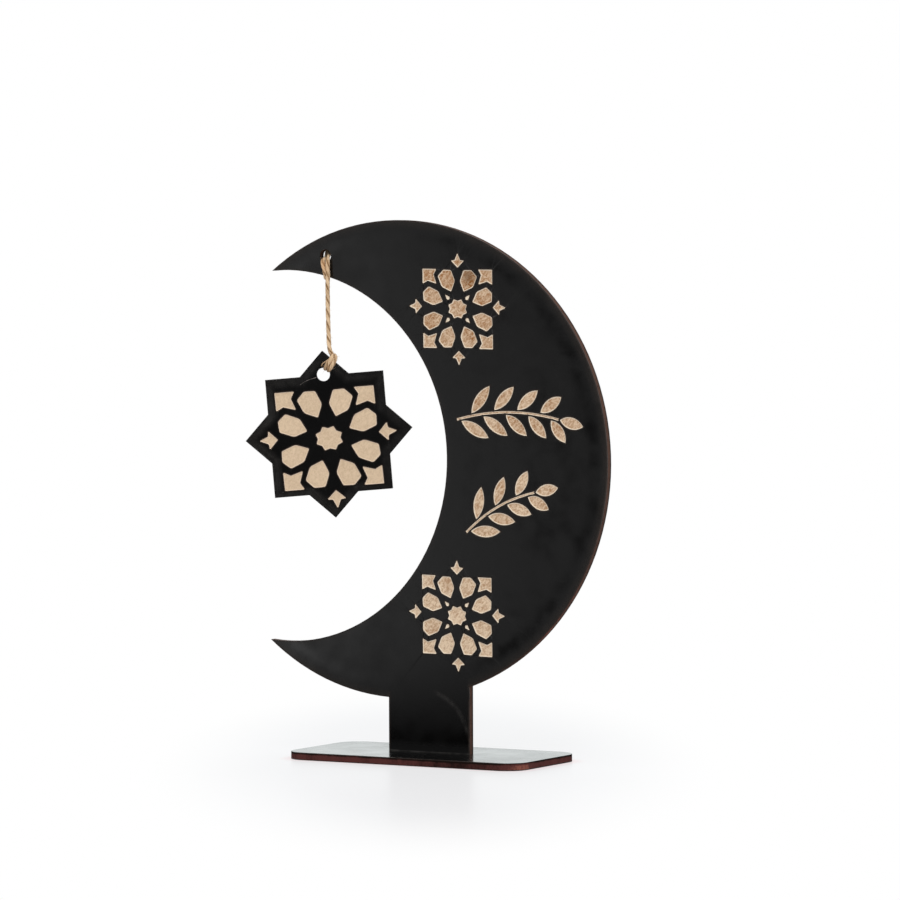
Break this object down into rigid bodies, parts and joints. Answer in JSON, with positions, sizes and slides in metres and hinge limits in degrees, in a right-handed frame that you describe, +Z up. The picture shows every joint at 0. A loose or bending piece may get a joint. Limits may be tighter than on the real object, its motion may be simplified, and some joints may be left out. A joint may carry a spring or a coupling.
{
  "type": "eid crescent ornament",
  "caption": "Free-standing crescent panel plugged into a slotted base plate, engraved with rosettes and leafy sprigs, with a star pendant hanging on twine in its hollow.",
  "frame": {"origin": "middle of the base plate's underside, below the stem", "axes": "+Z up, +X along the panel away from the pendant, the panel's engraved front faces -Y"},
  "size_m": [0.1548, 0.051, 0.2123],
  "materials": {
    "fibreboard": "laser-cut brown fibreboard, tan where engraved",
    "black_laminate": "satin black laminate",
    "jute_twine": "natural laid jute"
  },
  "bodies": {
    "base": {"base_core": "fibreboard", "base_top_laminate": "black_laminate", "base_bottom_laminate": "black_laminate"},
    "panel": {"crescent_core": "fibreboard", "crescent_front_laminate": "black_laminate", "crescent_rear_laminate": "black_laminate", "twine_hitch": "jute_twine", "twine_stopper_knot": "jute_twine"},
    "swing_link": {"twine_upper_link": "jute_twine"},
    "sway_link": {"twine_lower_link": "jute_twine"},
    "pendant": {"twine_drop": "jute_twine", "twine_knot": "jute_twine", "twine_star_loop": "jute_twine", "star_core": "fibreboard", "star_front_laminate": "black_laminate", "star_rear_laminate": "black_laminate"}
  },
  "joints": [
    {"name": "panel_lift", "type": "slide", "parent": "base", "child": "panel", "axis": [0, 0, 1], "range_m": [0, 0.012]},
    {"name": "pendant_swing", "type": "hinge", "parent": "panel", "child": "swing_link", "pos_m": [-0.04503, -0.0028, 0.18762], "axis": [0, -1, 0], "range_deg": [-60, 15]},
    {"name": "pendant_sway", "type": "hinge", "parent": "swing_link", "child": "sway_link", "pos_m": [-0.04503, -0.0028, 0.18422], "axis": [1, 0, 0], "range_deg": [-45, 45]},
    {"name": "pendant_twist", "type": "hinge", "parent": "sway_link", "child": "pendant", "pos_m": [-0.04503, -0.0028, 0.18082], "axis": [0, 0, 1], "range_deg": [-180, 180]}
  ]
}
